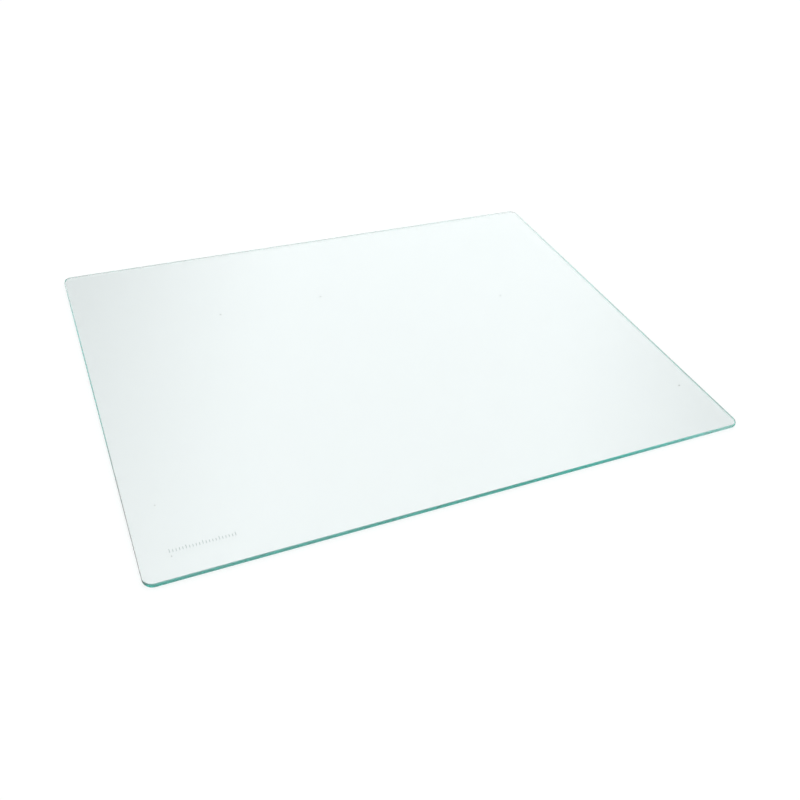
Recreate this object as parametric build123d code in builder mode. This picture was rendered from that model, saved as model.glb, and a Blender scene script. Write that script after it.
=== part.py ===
from build123d import *
import os

# Glass shelf of a refrigerator: one flat pane of toughened float glass, with rounded
# corners and a pencil-ground edge. The ground edge is a shallow arc that runs from the
# rim of one face to the rim of the other, all the way round the pane.
# The pane lies flat with its underside on Z = 0 and its centre on the Z axis. X runs
# along the front edge, and Y from the front of the cabinet to its back. Millimetres.

# Driving dimensions
shelf_width = 520.0  # along X, over the crowns of the two side edges
shelf_depth = 412.0  # along Y, over the crowns of the front and back edges
glass_thickness = 4.0  # between the two flat faces
corner_radius = 8.0  # seen from above, at the crown of the edge
edge_crown = 0.8  # how far the ground arc stands out past the rims of the faces

# The rim, where each flat face ends and the ground arc begins
rim_width = shelf_width - 2 * edge_crown
rim_depth = shelf_depth - 2 * edge_crown
rim_corner_radius = corner_radius - edge_crown
half_thickness = glass_thickness / 2

# Outline of the flat faces, drawn at mid-thickness
with BuildSketch(Plane.XY.offset(half_thickness)) as rim_outline:
    RectangleRounded(rim_width, rim_depth, rim_corner_radius)

# Section of the ground edge, drawn where the rim passes the middle of the front:
# its x runs outwards from the rim and its y up through the thickness
front_of_rim = (0, -rim_depth / 2, half_thickness)
with BuildSketch(Plane(front_of_rim, x_dir=(0, -1, 0), z_dir=(1, 0, 0))) as ground_section:
    with BuildLine():
        ThreePointArc((0, -half_thickness), (edge_crown, 0), (0, half_thickness))
        Line((0, half_thickness), (0, -half_thickness))
    make_face()

# The pane: a flat sheet inside the rim, and the ground edge swept round the rim
with BuildPart() as glass_pane:
    extrude(rim_outline.sketch, amount=half_thickness, both=True)
    sweep(ground_section.sketch, path=rim_outline.sketch.face().outer_wire())
glass_pane.part.label = "glass_pane"

os.makedirs("parts", exist_ok=True)
export_step(glass_pane.part, "parts/glass_pane.step")
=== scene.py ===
"""Looks of a refrigerator's glass shelf: a toughened pane, printed ticks, specks and the studio.

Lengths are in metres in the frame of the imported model: X along the front edge, Y to the back, Z up.
"""

import math

import bmesh
import bpy
from mathutils import Matrix, Vector, noise


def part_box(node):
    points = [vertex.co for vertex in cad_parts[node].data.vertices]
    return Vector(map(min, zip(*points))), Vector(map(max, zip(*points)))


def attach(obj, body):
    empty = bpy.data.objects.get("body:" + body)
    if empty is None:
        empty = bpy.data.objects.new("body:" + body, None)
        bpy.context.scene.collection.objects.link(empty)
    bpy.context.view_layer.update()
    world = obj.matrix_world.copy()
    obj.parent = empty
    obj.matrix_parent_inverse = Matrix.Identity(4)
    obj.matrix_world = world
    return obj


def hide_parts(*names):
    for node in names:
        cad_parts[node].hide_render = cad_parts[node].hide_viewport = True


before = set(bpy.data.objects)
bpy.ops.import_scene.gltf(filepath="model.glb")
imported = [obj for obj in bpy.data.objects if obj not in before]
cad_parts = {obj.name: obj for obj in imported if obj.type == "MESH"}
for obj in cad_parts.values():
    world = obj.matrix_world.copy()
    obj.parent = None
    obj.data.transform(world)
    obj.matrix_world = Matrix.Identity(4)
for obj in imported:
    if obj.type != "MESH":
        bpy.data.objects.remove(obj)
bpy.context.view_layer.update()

bl_info = {
    "name": "Refrigerator Glass Shelf",
    "version": (1, 0, 0),
    "blender": (4, 5, 0),
    "location": "3D View > Sidebar > Glass Shelf",
    "description": "Builds a toughened glass shelf with a ground edge, and a plain studio to show it in",
    "category": "Add Mesh",
}

PANE_NODE = "glass_pane"
BODY = "root"
PANE_LOW, PANE_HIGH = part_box(PANE_NODE)
PANE_MIDDLE = (PANE_LOW + PANE_HIGH) / 2
PANE_HALF = (PANE_HIGH - PANE_LOW) / 2
MM = 0.001

# Noise textures give 0 to 1, and most of what they give lies between these two
NOISE_LOW = 0.25
NOISE_HIGH = 0.75

# A wipe mark begins to show where its noise is above this
WIPE_LOW = 0.45

# Specks on the top face: right from the left edge, back from the front edge, and width, in millimetres.
# They are drawn a little wider than real ones, so that they show.
SPECKS = (
    (501.0, 62.6, 1.8),
    (131.8, 302.0, 1.8),
    (234.5, 303.0, 1.9),
    (23.6, 20.6, 1.0),
    (22.4, 73.2, 1.1),
    (412.9, 249.0, 2.0),
)


def linear_colour(hex_code):
    """Linear RGB of an sRGB hex colour such as #a0b1c2."""
    parts = [int(hex_code[i:i + 2], 16) / 255 for i in (1, 3, 5)]
    return tuple(c / 12.92 if c <= 0.04045 else ((c + 0.055) / 1.055) ** 2.4 for c in parts)


def add_node(tree, kind, values=None, links=None, **settings):
    """Adds one node with its own settings, values for its input sockets and links into them."""
    node = tree.nodes.new(kind)
    for name, value in settings.items():
        setattr(node, name, value)
    for socket, value in (values or {}).items():
        node.inputs[socket].default_value = value
    for socket, source in (links or {}).items():
        tree.links.new(source, node.inputs[socket])
    return node


def new_material(name):
    """An empty node material of that name, and its node tree."""
    material = bpy.data.materials.new(name)
    material.use_nodes = True
    material.node_tree.nodes.clear()
    return material, material.node_tree


def add_object(name, bm, material):
    """Links a new mesh object made from a bmesh, with one material."""
    mesh = bpy.data.meshes.new(name)
    bm.to_mesh(mesh)
    bm.free()
    mesh.materials.append(material)
    piece = bpy.data.objects.new(name, mesh)
    bpy.context.scene.collection.objects.link(piece)
    return piece


def bridge(bm, rings):
    """Faces between rings of vertices, from the lowest ring to the highest."""
    faces = []
    for low, high in zip(rings, rings[1:]):
        for k in range(len(low)):
            n = (k + 1) % len(low)
            faces.append(bm.faces.new((low[k], low[n], high[n], high[k])))
    return faces


class PaneProperties(bpy.types.PropertyGroup):
    """Shape and glass of the pane."""

    corner_radius: bpy.props.FloatProperty(
        name="Corner radius",
        description="Radius of the corners seen from above, at the crown of the edge",
        default=8 * MM,
        subtype="DISTANCE",
        unit="LENGTH",
    )
    edge_crown: bpy.props.FloatProperty(
        name="Edge crown",
        description="How far the ground arc stands out past the rims of the faces",
        default=0.8 * MM,
        subtype="DISTANCE",
        unit="LENGTH",
    )
    arc_steps: bpy.props.IntProperty(
        name="Arc steps",
        description="Faces across the ground edge, from rim to rim",
        default=16,
        min=2,
    )
    corner_steps: bpy.props.IntProperty(
        name="Corner steps",
        description="Faces along the ground edge at each corner",
        default=24,
        min=2,
    )
    face_tint: bpy.props.FloatVectorProperty(
        name="Face tint",
        description="Colour that white light takes from crossing both faces",
        default=linear_colour("#f1f3f3"),
        size=3,
        subtype="COLOR",
    )
    # Front tint: the front edge's green, painted paler towards its upper rim as painted light from above
    front_tint: bpy.props.FloatVectorProperty(
        name="Front tint",
        description="Colour that white light takes from crossing the front edge twice, at its upper rim",
        default=linear_colour("#d0fbf7"),
        size=3,
        subtype="COLOR",
    )
    # Front shade: painted shade, the front edge's green made darker along its lower rim
    front_painted_shade: bpy.props.FloatVectorProperty(
        name="Front shade",
        description="Colour that white light takes from crossing the front edge twice, at its lower rim",
        default=linear_colour("#9db3af"),
        size=3,
        subtype="COLOR",
    )
    # Shade height: the painted shade at the front edge's lower rim is full up to this height, then fades
    # towards the painted light at the upper rim
    painted_shade_height: bpy.props.FloatProperty(
        name="Shade height",
        description="Height up to which the front edge has the tint of its lower rim",
        default=1.2 * MM,
        subtype="DISTANCE",
        unit="LENGTH",
    )
    # Fade length: the front edge's green gives way to the pale side tint at its right end, as painted
    # light let in by the right edge
    painted_light_fade_length: bpy.props.FloatProperty(
        name="Fade length",
        description="Length over which the tint of the front edge fades out at its right end",
        default=120 * MM,
        subtype="DISTANCE",
        unit="LENGTH",
    )
    # The front edge's painted light and shade go round the corners with its tint
    front_wrap: bpy.props.FloatProperty(
        name="Front wrap",
        description="How far the tint of the front edge goes round the corners, where 1 is an even fade",
        default=2,
        min=1,
    )
    side_tint: bpy.props.FloatVectorProperty(
        name="Side tint",
        description="Colour that white light takes from crossing the side and back edges twice",
        default=linear_colour("#fcf6f6"),
        size=3,
        subtype="COLOR",
    )
    depth_tint: bpy.props.FloatVectorProperty(
        name="Depth tint",
        description="Colour that light keeps on long ways through the glass",
        default=linear_colour("#53f1ec"),
        size=3,
        subtype="COLOR",
    )
    depth_density: bpy.props.FloatProperty(
        name="Depth density",
        description="How fast the glass takes up light, for each metre",
        default=9.4,
        min=0,
    )
    front_roughness: bpy.props.FloatProperty(
        name="Front roughness",
        description="Middle roughness of the ground front edge",
        default=0.58,
        min=0,
        max=1,
        subtype="FACTOR",
    )
    right_roughness: bpy.props.FloatProperty(
        name="Right roughness",
        description="Middle roughness of the right edge at its front end",
        default=0.5,
        min=0,
        max=1,
        subtype="FACTOR",
    )
    back_roughness: bpy.props.FloatProperty(
        name="Back roughness",
        description="Middle roughness of the back edge and of the back end of the right edge",
        default=0.74,
        min=0,
        max=1,
        subtype="FACTOR",
    )
    left_roughness: bpy.props.FloatProperty(
        name="Left roughness",
        description="Middle roughness of the left edge, which is ground finer than the others",
        default=0.25,
        min=0,
        max=1,
        subtype="FACTOR",
    )
    streak_roughness: bpy.props.FloatProperty(
        name="Streak roughness",
        description="How far the roughness of the ground edge swings from streak to streak",
        default=0.025,
        min=0,
        max=1,
        subtype="FACTOR",
    )
    streak_shade: bpy.props.FloatProperty(
        name="Streak shade",
        description="How far the tint of the front edge swings from streak to streak",
        default=0.15,
        min=0,
        max=1,
        subtype="FACTOR",
    )
    streak_length: bpy.props.FloatProperty(
        name="Streak length",
        description="Length of the grinding streaks along the edge",
        default=24 * MM,
        subtype="DISTANCE",
        unit="LENGTH",
    )
    streak_height: bpy.props.FloatProperty(
        name="Streak height",
        description="Height of the grinding streaks across the edge",
        default=0.7 * MM,
        subtype="DISTANCE",
        unit="LENGTH",
    )
    streak_depth: bpy.props.FloatProperty(
        name="Streak depth",
        description="Depth of the grinding streaks",
        default=0.008 * MM,
        subtype="DISTANCE",
        unit="LENGTH",
    )
    wipe_roughness: bpy.props.FloatProperty(
        name="Wipe roughness",
        description="Roughness of the faces where a cloth has left a film",
        default=0.03,
        min=0,
        max=1,
        subtype="FACTOR",
    )
    wipe_length: bpy.props.FloatProperty(
        name="Wipe length",
        description="Length of the wipe marks",
        default=160 * MM,
        subtype="DISTANCE",
        unit="LENGTH",
    )
    wipe_width: bpy.props.FloatProperty(
        name="Wipe width",
        description="Width of the wipe marks",
        default=35 * MM,
        subtype="DISTANCE",
        unit="LENGTH",
    )
    wipe_angle: bpy.props.FloatProperty(
        name="Wipe angle",
        description="Turn of the pattern of wipe marks, seen from above",
        default=math.radians(25),
        subtype="ANGLE",
    )
    wave_length: bpy.props.FloatProperty(
        name="Wave length",
        description="Distance between the waves that the rollers of the furnace leave in the faces",
        default=240 * MM,
        subtype="DISTANCE",
        unit="LENGTH",
    )
    wave_stretch: bpy.props.FloatProperty(
        name="Wave stretch",
        description="How many times longer the roller waves are than the distance between them",
        default=2,
        min=1,
    )
    wave_depth: bpy.props.FloatProperty(
        name="Wave depth",
        description="Depth of the roller waves",
        default=0.2 * MM,
        subtype="DISTANCE",
        unit="LENGTH",
    )


class TickProperties(bpy.types.PropertyGroup):
    """The faint printed ticks."""

    from_left: bpy.props.FloatProperty(
        name="From left",
        description="From the left edge of the pane to the first tick",
        default=23 * MM,
        subtype="DISTANCE",
        unit="LENGTH",
    )
    from_front: bpy.props.FloatProperty(
        name="From front",
        description="From the front edge of the pane to the feet of the ticks",
        default=24 * MM,
        subtype="DISTANCE",
        unit="LENGTH",
    )
    count: bpy.props.IntProperty(
        name="Count",
        description="Number of ticks",
        default=21,
        min=1,
    )
    pitch: bpy.props.FloatProperty(
        name="Pitch",
        description="From one tick to the next",
        default=2.4 * MM,
        subtype="DISTANCE",
        unit="LENGTH",
    )
    every: bpy.props.IntProperty(
        name="Tall every",
        description="One tick in this many is tall",
        default=5,
        min=1,
    )
    tall: bpy.props.FloatProperty(
        name="Tall height",
        description="Height of the tall ticks",
        default=3.8 * MM,
        subtype="DISTANCE",
        unit="LENGTH",
    )
    short: bpy.props.FloatProperty(
        name="Short height",
        description="Height of the short ticks",
        default=2.8 * MM,
        subtype="DISTANCE",
        unit="LENGTH",
    )
    width: bpy.props.FloatProperty(
        name="Width",
        description="Width of a tick",
        default=0.6 * MM,
        subtype="DISTANCE",
        unit="LENGTH",
    )
    ink_rise: bpy.props.FloatProperty(
        name="Ink rise",
        description="How far the fired ink stands above the face, and twice how far it is sunk in it",
        default=0.02 * MM,
        subtype="DISTANCE",
        unit="LENGTH",
    )
    end_steps: bpy.props.IntProperty(
        name="End steps",
        description="Faces round each round end of a tick",
        default=8,
        min=2,
    )
    ink_pale: bpy.props.FloatVectorProperty(
        name="Pale ink",
        description="Colour of the ink where it is thin",
        default=linear_colour("#ccd6d5"),
        size=3,
        subtype="COLOR",
    )
    ink_dark: bpy.props.FloatVectorProperty(
        name="Dark ink",
        description="Colour of the ink where it is thick",
        default=linear_colour("#adb9b8"),
        size=3,
        subtype="COLOR",
    )
    patch: bpy.props.FloatProperty(
        name="Patch",
        description="Size of the patches where the ink is thin or thick",
        default=3 * MM,
        subtype="DISTANCE",
        unit="LENGTH",
    )
    thick_roughness: bpy.props.FloatProperty(
        name="Thick roughness",
        description="Roughness of the ink where it is thick",
        default=0.5,
        min=0,
        max=1,
        subtype="FACTOR",
    )
    thin_roughness: bpy.props.FloatProperty(
        name="Thin roughness",
        description="Roughness of the ink where it is thin",
        default=0.75,
        min=0,
        max=1,
        subtype="FACTOR",
    )


class SpeckProperties(bpy.types.PropertyGroup):
    """The specks of dust on the top face."""

    rise: bpy.props.FloatProperty(
        name="Rise",
        description="How far a speck stands above the face, and is sunk in it, at most",
        default=0.07 * MM,
        subtype="DISTANCE",
        unit="LENGTH",
    )
    lumps: bpy.props.FloatProperty(
        name="Lumps",
        description="How uneven the specks are",
        default=0.45,
        min=0,
        max=1,
        subtype="FACTOR",
    )
    lump_rate: bpy.props.FloatProperty(
        name="Lump rate",
        description="How closely the lumps follow each other, for each radius of a speck",
        default=1.6,
        min=0,
    )
    roundness: bpy.props.IntProperty(
        name="Roundness",
        description="How often the faces of a speck are divided",
        default=3,
        min=1,
    )
    dust_pale: bpy.props.FloatVectorProperty(
        name="Pale dust",
        description="Lightest colour of the dust",
        default=linear_colour("#a9adab"),
        size=3,
        subtype="COLOR",
    )
    dust_dark: bpy.props.FloatVectorProperty(
        name="Dark dust",
        description="Darkest colour of the dust",
        default=linear_colour("#7c807e"),
        size=3,
        subtype="COLOR",
    )
    mottle: bpy.props.FloatProperty(
        name="Mottle",
        description="Size of the light and dark spots of the dust",
        default=0.2 * MM,
        subtype="DISTANCE",
        unit="LENGTH",
    )
    dark_roughness: bpy.props.FloatProperty(
        name="Dark roughness",
        description="Roughness of the dust where it is dark",
        default=0.8,
        min=0,
        max=1,
        subtype="FACTOR",
    )
    pale_roughness: bpy.props.FloatProperty(
        name="Pale roughness",
        description="Roughness of the dust where it is pale",
        default=1.0,
        min=0,
        max=1,
        subtype="FACTOR",
    )


class StageProperties(bpy.types.PropertyGroup):
    """Camera, floor and light."""

    azimuth: bpy.props.FloatProperty(
        name="Azimuth",
        description="Where the camera stands round the pane, from the front towards the right",
        default=math.radians(-26.743),
        subtype="ANGLE",
    )
    elevation: bpy.props.FloatProperty(
        name="Elevation",
        description="Height of the camera above the horizon",
        default=math.radians(39.571),
        subtype="ANGLE",
    )
    roll: bpy.props.FloatProperty(
        name="Roll",
        description="Turn of the camera about its line of sight",
        default=math.radians(5.1145),
        subtype="ANGLE",
    )
    distance: bpy.props.FloatProperty(
        name="Distance",
        description="From the camera to the point of the top face that it looks at",
        default=769.23 * MM,
        subtype="DISTANCE",
        unit="LENGTH",
    )
    aim: bpy.props.FloatVectorProperty(
        name="Aim",
        description="The point of the top face that the camera looks at, from the middle of the pane",
        default=(-14.13 * MM, -79.15 * MM),
        size=2,
        subtype="XYZ",
        unit="LENGTH",
    )
    lens: bpy.props.FloatProperty(
        name="Focal length",
        description="Focal length in millimetres, on a sensor 36 mm wide",
        default=39.458,
        subtype="DISTANCE_CAMERA",
    )
    clip_start: bpy.props.FloatProperty(
        name="Clip start",
        description="Nearest distance that the camera sees",
        default=10 * MM,
        subtype="DISTANCE",
        unit="LENGTH",
    )
    floor_reach: bpy.props.FloatProperty(
        name="Floor reach",
        description="From the middle of the floor to each of its sides",
        default=6.0,
        subtype="DISTANCE",
        unit="LENGTH",
    )
    floor_gap: bpy.props.FloatProperty(
        name="Floor gap",
        description="From the floor up to the underside of the pane",
        default=0.3 * MM,
        subtype="DISTANCE",
        unit="LENGTH",
    )
    paper_white: bpy.props.FloatProperty(
        name="Paper white",
        description="Share of the light on the floor's paper that it gives back",
        default=0.3,
        min=0,
        max=1,
        subtype="FACTOR",
    )
    paper_glow: bpy.props.FloatProperty(
        name="Paper glow",
        description="Radiance of the floor's paper from the lamps below it",
        default=0.72,
        min=0,
    )
    room_light: bpy.props.FloatProperty(
        name="Room light",
        description="Radiance of the white walls and of the background",
        default=1.0,
        min=0,
    )
    light_azimuth: bpy.props.FloatProperty(
        name="Light azimuth",
        description="The upright plane of the long softbox, counted as the camera's azimuth is",
        default=math.radians(-27.75),
        subtype="ANGLE",
    )
    softbox_light: bpy.props.FloatProperty(
        name="Softbox light",
        description="Radiance of the long softbox",
        default=1.55,
        min=0,
    )
    softbox_core: bpy.props.FloatProperty(
        name="Softbox core",
        description="Half width of the softbox's even middle, seen from the pane",
        default=math.radians(8),
        subtype="ANGLE",
    )
    softbox_reach: bpy.props.FloatProperty(
        name="Softbox reach",
        description="Half width of the softbox with its soft border, seen from the pane",
        default=math.radians(26.2),
        subtype="ANGLE",
    )
    shade_light: bpy.props.FloatProperty(
        name="Shade light",
        description="Radiance of the dim ceiling on both sides of the softbox",
        default=0.02,
        min=0,
    )
    wall_near: bpy.props.FloatProperty(
        name="Wall border",
        description="How far off the softbox's plane the dim ceiling begins to turn white",
        default=math.radians(30),
        subtype="ANGLE",
    )
    wall_far: bpy.props.FloatProperty(
        name="Wall",
        description="How far off the softbox's plane the walls are white",
        default=math.radians(58),
        subtype="ANGLE",
    )
    front_low: bpy.props.FloatProperty(
        name="Front border",
        description="How far to the front of the pane the room begins to turn white",
        default=math.radians(5),
        subtype="ANGLE",
    )
    front_high: bpy.props.FloatProperty(
        name="Front",
        description="How far to the front of the pane the room is white",
        default=math.radians(30),
        subtype="ANGLE",
    )
    overhead_light: bpy.props.FloatProperty(
        name="Overhead light",
        description="Radiance of the lamp straight above the pane",
        default=1.55,
        min=0,
    )
    overhead_low: bpy.props.FloatProperty(
        name="Overhead border",
        description="Height above the horizon where the border of the overhead lamp begins",
        default=math.radians(52),
        subtype="ANGLE",
    )
    overhead_high: bpy.props.FloatProperty(
        name="Overhead core",
        description="Height above the horizon from which the overhead lamp is even",
        default=math.radians(66),
        subtype="ANGLE",
    )
    horizon_low: bpy.props.FloatProperty(
        name="Horizon",
        description="Height above the horizon up to which the room is white all round",
        default=math.radians(8),
        subtype="ANGLE",
    )
    horizon_high: bpy.props.FloatProperty(
        name="Horizon border",
        description="Height above the horizon where that white ends",
        default=math.radians(20),
        subtype="ANGLE",
    )
    light_bounces: bpy.props.IntProperty(
        name="Light bounces",
        description="Bounces that light may take, so that it comes through the pane from edge to edge",
        default=96,
        min=1,
    )


def toughened_float_glass(pane):
    """Soda-lime float glass: clear fire-polished faces and a satin ground edge.

    Clear to look through, and green where light comes a long way through it, as at the edge. The front
    edge's green carries painted light at its upper rim and at its right end, and painted shade at its
    lower rim.
    """
    material, tree = new_material("toughened_float_glass")
    place = add_node(tree, "ShaderNodeTexCoord").outputs["Object"]
    ground = add_node(tree, "ShaderNodeAttribute", attribute_name="ground").outputs["Fac"]
    front = add_node(tree, "ShaderNodeAttribute", attribute_name="front").outputs["Fac"]
    grind = add_node(tree, "ShaderNodeAttribute", attribute_name="grind").outputs["Fac"]

    # Grinding streaks run along the edge. Real ones are too fine to see, so these are much coarser.
    streak_scale = (1 / pane.streak_length, 1 / pane.streak_length, 1 / pane.streak_height)
    along = add_node(tree, "ShaderNodeMapping", values={"Scale": streak_scale}, links={"Vector": place})
    streaks = add_node(
        tree,
        "ShaderNodeTexNoise",
        values={"Scale": 1.0, "Detail": 3.0},
        links={"Vector": along.outputs["Vector"]},
    ).outputs["Fac"]

    # The front edge's tint is painted paler at its upper rim and darker at its lower one, as painted light
    # from above and painted shade below. It fades at its right end, as painted light let in by the right
    # edge.
    axes = add_node(tree, "ShaderNodeSeparateXYZ", links={0: place})
    # 0 up to the shade height and 1 at the upper rim: the share of painted light against painted shade
    rise = add_node(
        tree,
        "ShaderNodeMapRange",
        values={"From Min": PANE_LOW.z + pane.painted_shade_height, "From Max": PANE_HIGH.z},
        links={"Value": axes.outputs["Z"]},
    )
    # Painted light: 1 away from the right end and 0 at it, so the front edge turns to the pale side tint
    # where light comes in through the right edge
    painted_right_light_fade = add_node(
        tree,
        "ShaderNodeMapRange",
        values={
            "From Min": PANE_HIGH.x - pane.painted_light_fade_length,
            "From Max": PANE_HIGH.x,
            "To Min": 1,
            "To Max": 0,
        },
        links={"Value": axes.outputs["X"]},
    )
    # The front edge's share of its tint, less the painted light at its right end
    front_share = add_node(
        tree,
        "ShaderNodeMath",
        operation="MULTIPLY",
        links={0: front, 1: painted_right_light_fade.outputs["Result"]},
    )
    shade = add_node(
        tree,
        "ShaderNodeMapRange",
        values={
            "From Min": NOISE_LOW,
            "From Max": NOISE_HIGH,
            "To Min": -pane.streak_shade,
            "To Max": pane.streak_shade,
        },
        links={"Value": streaks},
    )
    # Painted light and shade by height, plus the random tone of the grinding streaks
    painted_light_and_streaks = add_node(
        tree,
        "ShaderNodeMath",
        operation="ADD",
        use_clamp=True,
        links={0: rise.outputs["Result"], 1: shade.outputs["Result"]},
    )
    # The front edge's green, between its painted shade below and its painted light above
    front_tint = add_node(
        tree,
        "ShaderNodeMix",
        data_type="RGBA",
        values={"A": (*pane.front_painted_shade, 1), "B": (*pane.front_tint, 1)},
        links={"Factor": painted_light_and_streaks.outputs["Value"]},
    )
    edge_tint = add_node(
        tree,
        "ShaderNodeMix",
        data_type="RGBA",
        values={"A": (*pane.side_tint, 1)},
        links={"Factor": front_share.outputs["Value"], "B": front_tint.outputs["Result"]},
    )
    tint = add_node(
        tree,
        "ShaderNodeMix",
        data_type="RGBA",
        values={"A": (*pane.face_tint, 1)},
        links={"Factor": ground, "B": edge_tint.outputs["Result"]},
    )

    # A cloth leaves long faint marks on the faces
    wipe_scale = (1 / pane.wipe_length, 1 / pane.wipe_width, 1)
    wiped = add_node(
        tree,
        "ShaderNodeMapping",
        values={"Scale": wipe_scale, "Rotation": (0, 0, pane.wipe_angle)},
        links={"Vector": place},
    )
    wipes = add_node(
        tree,
        "ShaderNodeTexNoise",
        values={"Scale": 1.0, "Detail": 4.0, "Distortion": 0.6},
        links={"Vector": wiped.outputs["Vector"]},
    ).outputs["Fac"]
    face_rough = add_node(
        tree,
        "ShaderNodeMapRange",
        values={
            "From Min": WIPE_LOW,
            "From Max": NOISE_HIGH,
            "To Min": 0,
            "To Max": pane.wipe_roughness,
        },
        links={"Value": wipes},
    )
    swing = add_node(
        tree,
        "ShaderNodeMapRange",
        values={
            "From Min": NOISE_LOW,
            "From Max": NOISE_HIGH,
            "To Min": -pane.streak_roughness,
            "To Max": pane.streak_roughness,
        },
        links={"Value": streaks},
    )
    edge_rough = add_node(
        tree,
        "ShaderNodeMath",
        operation="ADD",
        links={0: grind, 1: swing.outputs["Result"]},
    )
    rough = add_node(
        tree,
        "ShaderNodeMix",
        data_type="FLOAT",
        links={
            "Factor": ground,
            "A": face_rough.outputs["Result"],
            "B": edge_rough.outputs["Value"],
        },
    )

    # The rollers of the toughening furnace leave long waves in the faces, drawn deeper than real ones
    wave_scale = (1 / (pane.wave_stretch * pane.wave_length), 1 / pane.wave_length, 1)
    rolled = add_node(tree, "ShaderNodeMapping", values={"Scale": wave_scale}, links={"Vector": place})
    waves = add_node(
        tree,
        "ShaderNodeTexNoise",
        values={"Scale": 1.0, "Detail": 0.0},
        links={"Vector": rolled.outputs["Vector"]},
    ).outputs["Fac"]
    face_height = add_node(
        tree,
        "ShaderNodeMath",
        operation="MULTIPLY",
        values={1: pane.wave_depth},
        links={0: waves},
    )
    edge_height = add_node(
        tree,
        "ShaderNodeMath",
        operation="MULTIPLY",
        values={1: pane.streak_depth},
        links={0: streaks},
    )
    height = add_node(
        tree,
        "ShaderNodeMix",
        data_type="FLOAT",
        links={
            "Factor": ground,
            "A": face_height.outputs["Value"],
            "B": edge_height.outputs["Value"],
        },
    )
    bump = add_node(
        tree,
        "ShaderNodeBump",
        values={"Strength": 1.0, "Distance": 1.0},
        links={"Height": height.outputs["Result"]},
    )

    glass = add_node(
        tree,
        "ShaderNodeBsdfPrincipled",
        values={"IOR": 1.52, "Transmission Weight": 1.0},
        links={
            "Base Color": tint.outputs["Result"],
            "Roughness": rough.outputs["Result"],
            "Normal": bump.outputs["Normal"],
        },
    )
    depth = add_node(
        tree,
        "ShaderNodeVolumeAbsorption",
        values={"Color": (*pane.depth_tint, 1), "Density": pane.depth_density},
    )
    add_node(
        tree,
        "ShaderNodeOutputMaterial",
        links={"Surface": glass.outputs["BSDF"], "Volume": depth.outputs["Volume"]},
    )
    return material


def fired_ceramic_ink(ticks):
    """Pale grey ceramic ink, screen-printed and fired: matt, and uneven where the mesh left less of it."""
    material, tree = new_material("fired_ceramic_ink")
    place = add_node(tree, "ShaderNodeTexCoord").outputs["Object"]
    cover = add_node(
        tree,
        "ShaderNodeTexNoise",
        values={"Scale": 1 / ticks.patch, "Detail": 3.0},
        links={"Vector": place},
    ).outputs["Fac"]
    colour = add_node(
        tree,
        "ShaderNodeMix",
        data_type="RGBA",
        values={"A": (*ticks.ink_dark, 1), "B": (*ticks.ink_pale, 1)},
        links={"Factor": cover},
    )
    rough = add_node(
        tree,
        "ShaderNodeMapRange",
        values={"To Min": ticks.thick_roughness, "To Max": ticks.thin_roughness},
        links={"Value": cover},
    )
    ink = add_node(
        tree,
        "ShaderNodeBsdfPrincipled",
        links={"Base Color": colour.outputs["Result"], "Roughness": rough.outputs["Result"]},
    )
    add_node(tree, "ShaderNodeOutputMaterial", links={"Surface": ink.outputs["BSDF"]})
    return material


def grey_dust(specks):
    """Grains of grey dust: matt and mottled, dark against the pale glass."""
    material, tree = new_material("grey_dust")
    place = add_node(tree, "ShaderNodeTexCoord").outputs["Object"]
    mottle = add_node(
        tree,
        "ShaderNodeTexNoise",
        values={"Scale": 1 / specks.mottle, "Detail": 2.0},
        links={"Vector": place},
    ).outputs["Fac"]
    colour = add_node(
        tree,
        "ShaderNodeMix",
        data_type="RGBA",
        values={"A": (*specks.dust_dark, 1), "B": (*specks.dust_pale, 1)},
        links={"Factor": mottle},
    )
    rough = add_node(
        tree,
        "ShaderNodeMapRange",
        values={"To Min": specks.dark_roughness, "To Max": specks.pale_roughness},
        links={"Value": mottle},
    )
    dust = add_node(
        tree,
        "ShaderNodeBsdfPrincipled",
        links={"Base Color": colour.outputs["Result"], "Roughness": rough.outputs["Result"]},
    )
    add_node(tree, "ShaderNodeOutputMaterial", links={"Surface": dust.outputs["BSDF"]})
    return material


def white_paper(stage):
    """Matt white paper on the studio's floor, lit through from below so that it stays white.

    It takes a soft shadow and shows white through the glass too.
    """
    material, tree = new_material("white_paper")
    matt = add_node(tree, "ShaderNodeBsdfDiffuse", values={"Color": (*[stage.paper_white] * 3, 1)})
    glow = add_node(tree, "ShaderNodeEmission", values={"Strength": stage.paper_glow})
    both = add_node(
        tree,
        "ShaderNodeAddShader",
        links={0: matt.outputs["BSDF"], 1: glow.outputs["Emission"]},
    )
    add_node(tree, "ShaderNodeOutputMaterial", links={"Surface": both.outputs["Shader"]})
    return material


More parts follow.
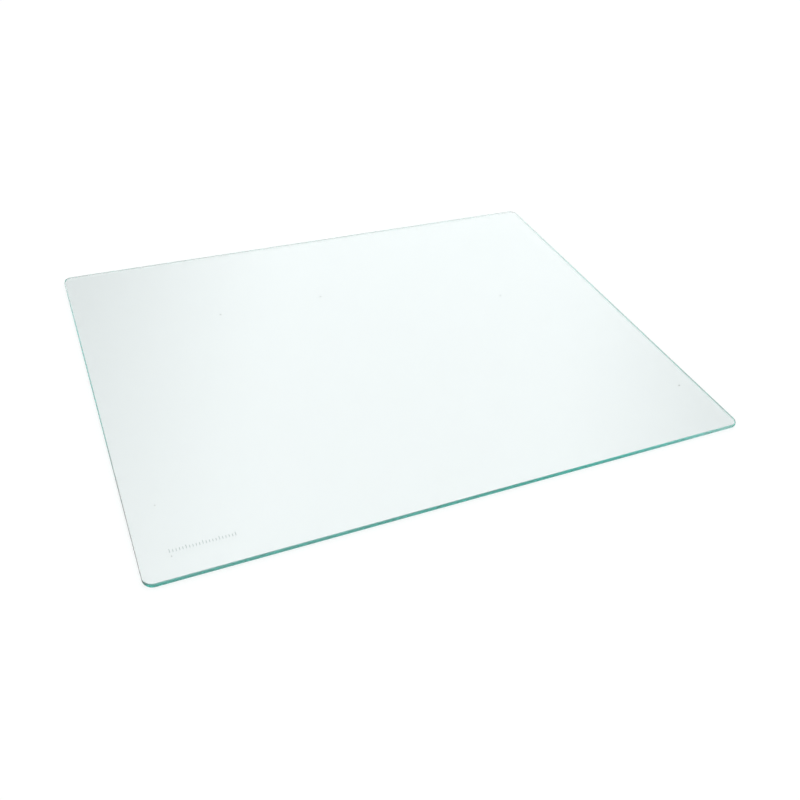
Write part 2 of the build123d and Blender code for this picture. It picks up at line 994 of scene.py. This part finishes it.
def studio_light(stage):
    """A white room with a long softbox in line with the camera, dim beside it, and a lamp overhead."""
    world = bpy.data.worlds.new("studio")
    world.use_nodes = True
    tree = world.node_tree
    tree.nodes.clear()

    # Where a ray points: off the softbox's upright plane, to the front and up, each as a sine
    way = add_node(tree, "ShaderNodeTexCoord").outputs["Generated"]
    side = (math.cos(stage.light_azimuth), math.sin(stage.light_azimuth), 0)
    across = add_node(
        tree,
        "ShaderNodeVectorMath",
        operation="DOT_PRODUCT",
        values={1: side},
        links={0: way},
    ).outputs["Value"]
    aside = add_node(tree, "ShaderNodeMath", operation="ABSOLUTE", links={0: across}).outputs["Value"]
    ahead = add_node(
        tree,
        "ShaderNodeVectorMath",
        operation="DOT_PRODUCT",
        values={1: (side[1], -side[0], 0)},
        links={0: way},
    ).outputs["Value"]
    height = add_node(tree, "ShaderNodeSeparateXYZ", links={0: way}).outputs["Z"]

    # The softbox has a soft border, and the ceiling beside it is dim
    light = add_node(
        tree,
        "ShaderNodeMapRange",
        interpolation_type="SMOOTHSTEP",
        values={
            "From Min": math.sin(stage.softbox_core),
            "From Max": math.sin(stage.softbox_reach),
            "To Min": stage.softbox_light,
            "To Max": stage.shade_light,
        },
        links={"Value": aside},
    ).outputs["Result"]

    # The rest of the room is laid over that in turn: the walls, the front, the lamp overhead and the
    # horizon. Each comes in or goes out softly, from one angle to another.
    for sine, low, high, before, after, level in (
        (aside, stage.wall_near, stage.wall_far, 0, 1, stage.room_light),
        (ahead, stage.front_low, stage.front_high, 0, 1, stage.room_light),
        (height, stage.overhead_low, stage.overhead_high, 0, 1, stage.overhead_light),
        (height, stage.horizon_low, stage.horizon_high, 1, 0, stage.room_light),
    ):
        share = add_node(
            tree,
            "ShaderNodeMapRange",
            interpolation_type="SMOOTHSTEP",
            values={
                "From Min": math.sin(low),
                "From Max": math.sin(high),
                "To Min": before,
                "To Max": after,
            },
            links={"Value": sine},
        )
        light = add_node(
            tree,
            "ShaderNodeMix",
            data_type="FLOAT",
            values={"B": level},
            links={"Factor": share.outputs["Result"], "A": light},
        ).outputs["Result"]

    # The camera sees plain white above the horizon, and all other rays see the room
    ray = add_node(tree, "ShaderNodeLightPath")
    seen = add_node(
        tree,
        "ShaderNodeMix",
        data_type="FLOAT",
        values={"B": stage.room_light},
        links={"Factor": ray.outputs["Is Camera Ray"], "A": light},
    )
    sky = add_node(
        tree,
        "ShaderNodeBackground",
        values={"Color": (1, 1, 1, 1)},
        links={"Strength": seen.outputs["Result"]},
    )
    add_node(tree, "ShaderNodeOutputWorld", links={"Surface": sky.outputs["Background"]})
    return world


def edge_section(pane):
    """Points of the ground edge's section, from the lower rim to the upper: (out from the rim, height)."""
    half, crown = PANE_HALF.z, pane.edge_crown
    radius = (half * half + crown * crown) / (2 * crown)
    spread = math.asin(half / radius)
    tilts = [spread * (2 * i / pane.arc_steps - 1) for i in range(pane.arc_steps + 1)]
    return [
        (radius * math.cos(tilt) - (radius - crown), PANE_MIDDLE.z + radius * math.sin(tilt))
        for tilt in tilts
    ]


def grinding(pane, x, y, at_back):
    """Roughness of the ground edge where it faces (x, y), at a corner of the back or of the front."""
    right = pane.back_roughness if at_back else pane.right_roughness
    end = pane.back_roughness if at_back else pane.front_roughness
    side = pane.left_roughness if x < 0 else right
    return x * x * side + y * y * end


def pane_mesh(pane):
    """The pane: a ground edge swept round the rounded rectangle of the rims, and two flat faces."""
    bm = bmesh.new()
    ground = bm.faces.layers.float.new("ground")
    front = bm.verts.layers.float.new("front")
    grind = bm.verts.layers.float.new("grind")
    rim_radius = pane.corner_radius - pane.edge_crown
    pivots = [
        (PANE_MIDDLE.x + sx * (PANE_HALF.x - pane.corner_radius),
         PANE_MIDDLE.y + sy * (PANE_HALF.y - pane.corner_radius))
        for sx, sy in ((1, 1), (-1, 1), (-1, -1), (1, -1))
    ]
    rings = []
    for out, height in edge_section(pane):
        ring = []
        for quarter, (px, py) in enumerate(pivots):
            for k in range(pane.corner_steps + 1):
                turn = math.pi / 2 * (quarter + k / pane.corner_steps)
                x, y = math.cos(turn), math.sin(turn)
                reach = rim_radius + out
                vert = bm.verts.new((px + reach * x, py + reach * y, height))
                # How much of the front edge's tint, with its painted light and shade, this vertex takes
                vert[front] = min(1.0, max(0.0, -pane.front_wrap * y))
                vert[grind] = grinding(pane, x, y, py > PANE_MIDDLE.y)
                ring.append(vert)
        rings.append(ring)
    for face in bridge(bm, rings):
        face.smooth = True
        face[ground] = 1.0
    per_corner = pane.corner_steps + 1
    for ring, height, flip in ((rings[-1], PANE_HIGH.z, False), (rings[0], PANE_LOW.z, True)):
        centres = [bm.verts.new((px, py, height)) for px, py in pivots]
        loops = [tuple(centres)]
        for quarter in range(4):
            start = quarter * per_corner
            centre = centres[quarter]
            for k in range(start, start + pane.corner_steps):
                loops.append((centre, ring[k], ring[k + 1]))
            last = ring[start + pane.corner_steps]
            after = (quarter + 1) % 4
            loops.append((centre, last, ring[after * per_corner], centres[after]))
        for loop in loops:
            bm.faces.new(reversed(loop) if flip else loop)
        for k in range(len(ring)):
            bm.edges.get((ring[k - 1], ring[k])).smooth = False
    return bm


def tick_ring(bm, x, foot, head, radius, height, steps):
    """Ring of vertices round an upright tick with round ends, at one height."""
    ring = []
    for y, first in ((head, 0), (foot, math.pi)):
        for k in range(steps + 1):
            turn = first + math.pi * k / steps
            place = (x + radius * math.cos(turn), y + radius * math.sin(turn), height)
            ring.append(bm.verts.new(place))
    return ring


def ticks_mesh(ticks):
    """A row of upright ticks of ink, sunk a little in the top face and rounded off above it."""
    bm = bmesh.new()
    radius = ticks.width / 2
    for i in range(ticks.count):
        tall = ticks.tall if i % ticks.every == 0 else ticks.short
        x = PANE_LOW.x + ticks.from_left + i * ticks.pitch
        foot = PANE_LOW.y + ticks.from_front + radius
        head = foot + tall - ticks.width
        levels = (
            (radius, -ticks.ink_rise / 2),
            (radius, ticks.ink_rise / 2),
            (radius - ticks.ink_rise, ticks.ink_rise),
        )
        rings = [
            tick_ring(bm, x, foot, head, level_radius, PANE_HIGH.z + level, ticks.end_steps)
            for level_radius, level in levels
        ]
        bridge(bm, rings)
        bm.faces.new(reversed(rings[0]))
        bm.faces.new(rings[-1])
    return bm


def specks_mesh(specks):
    """Flat uneven grains, half sunk in the top face."""
    bm = bmesh.new()
    for right, back, width in SPECKS:
        centre = Vector((PANE_LOW.x + right * MM, PANE_LOW.y + back * MM, PANE_HIGH.z))
        size = Vector((width * MM / 2, width * MM / 2, specks.rise))
        ball = bmesh.ops.create_icosphere(bm, subdivisions=specks.roundness, radius=1.0)
        for vert in ball["verts"]:
            swell = noise.noise(specks.lump_rate * vert.co + centre / MM)
            lump = 1 - specks.lumps * (0.5 + 0.5 * swell)
            vert.co = centre + size * vert.co * lump
    for face in bm.faces:
        face.smooth = True
    return bm


class SHELF_OT_pane(bpy.types.Operator):
    """Build the glass pane"""

    bl_idname = "shelf.pane"
    bl_label = "Glass Pane"

    def execute(self, context):
        pane = context.scene.shelf_pane
        piece = add_object("glass_shelf", pane_mesh(pane), toughened_float_glass(pane))
        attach(piece, BODY)
        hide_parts(PANE_NODE)
        return {"FINISHED"}


class SHELF_OT_ticks(bpy.types.Operator):
    """Print the row of ticks"""

    bl_idname = "shelf.ticks"
    bl_label = "Printed Ticks"

    def execute(self, context):
        ticks = context.scene.shelf_ticks
        piece = add_object("print_ticks", ticks_mesh(ticks), fired_ceramic_ink(ticks))
        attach(piece, BODY)
        return {"FINISHED"}


class SHELF_OT_specks(bpy.types.Operator):
    """Strew the specks of dust"""

    bl_idname = "shelf.specks"
    bl_label = "Specks"

    def execute(self, context):
        specks = context.scene.shelf_specks
        piece = add_object("specks", specks_mesh(specks), grey_dust(specks))
        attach(piece, BODY)
        return {"FINISHED"}


class SHELF_OT_stage(bpy.types.Operator):
    """Build the floor, the light and the camera"""

    bl_idname = "shelf.stage"
    bl_label = "Studio"

    def execute(self, context):
        scene = context.scene
        stage = scene.shelf_stage
        scene.view_settings.view_transform = "Standard"
        # Light in the pane bounces from face to face on its way to an edge, and glossy blur would let
        # it out too early
        scene.cycles.max_bounces = stage.light_bounces
        scene.cycles.glossy_bounces = stage.light_bounces
        scene.cycles.transmission_bounces = stage.light_bounces
        scene.cycles.blur_glossy = 0

        bm = bmesh.new()
        bmesh.ops.create_grid(bm, x_segments=1, y_segments=1, size=stage.floor_reach)
        floor = add_object("floor", bm, white_paper(stage))
        floor.location.z = PANE_LOW.z - stage.floor_gap

        scene.world = studio_light(stage)

        camera_data = bpy.data.cameras.new("camera")
        camera_data.lens = stage.lens
        camera_data.clip_start = stage.clip_start
        camera = bpy.data.objects.new("camera", camera_data)
        scene.collection.objects.link(camera)
        target = Vector((PANE_MIDDLE.x + stage.aim[0], PANE_MIDDLE.y + stage.aim[1], PANE_HIGH.z))
        back = Vector((
            math.sin(stage.azimuth) * math.cos(stage.elevation),
            -math.cos(stage.azimuth) * math.cos(stage.elevation),
            math.sin(stage.elevation),
        ))
        turn = (-back).to_track_quat("-Z", "Y").to_matrix().to_4x4()
        place = Matrix.Translation(target + back * stage.distance)
        camera.matrix_world = place @ turn @ Matrix.Rotation(stage.roll, 4, "Z")
        scene.camera = camera
        return {"FINISHED"}


# Each operator, its group of properties, and that group's name in the scene
PARTS = (
    (SHELF_OT_pane, PaneProperties, "shelf_pane"),
    (SHELF_OT_ticks, TickProperties, "shelf_ticks"),
    (SHELF_OT_specks, SpeckProperties, "shelf_specks"),
    (SHELF_OT_stage, StageProperties, "shelf_stage"),
)


class SHELF_PT_panel(bpy.types.Panel):
    """Lists the pieces of the shelf and the studio, with their properties"""

    bl_idname = "SHELF_PT_panel"
    bl_label = "Glass Shelf"
    bl_space_type = "VIEW_3D"
    bl_region_type = "UI"
    bl_category = "Glass Shelf"

    def draw(self, context):
        for operator, group, name in PARTS:
            box = self.layout.box()
            box.operator(operator.bl_idname)
            for setting in group.__annotations__:
                box.prop(getattr(context.scene, name), setting)


def register():
    """Registers the classes and gives the scene its groups of properties."""
    for operator, group, name in PARTS:
        bpy.utils.register_class(group)
        bpy.utils.register_class(operator)
        setattr(bpy.types.Scene, name, bpy.props.PointerProperty(type=group))
    bpy.utils.register_class(SHELF_PT_panel)


def unregister():
    """Undoes register."""
    bpy.utils.unregister_class(SHELF_PT_panel)
    for operator, group, name in reversed(PARTS):
        delattr(bpy.types.Scene, name)
        bpy.utils.unregister_class(operator)
        bpy.utils.unregister_class(group)


def main():
    """Builds the shelf and the studio."""
    register()
    bpy.ops.shelf.pane()
    bpy.ops.shelf.ticks()
    bpy.ops.shelf.specks()
    bpy.ops.shelf.stage()


if __name__ == "__main__":
    main()
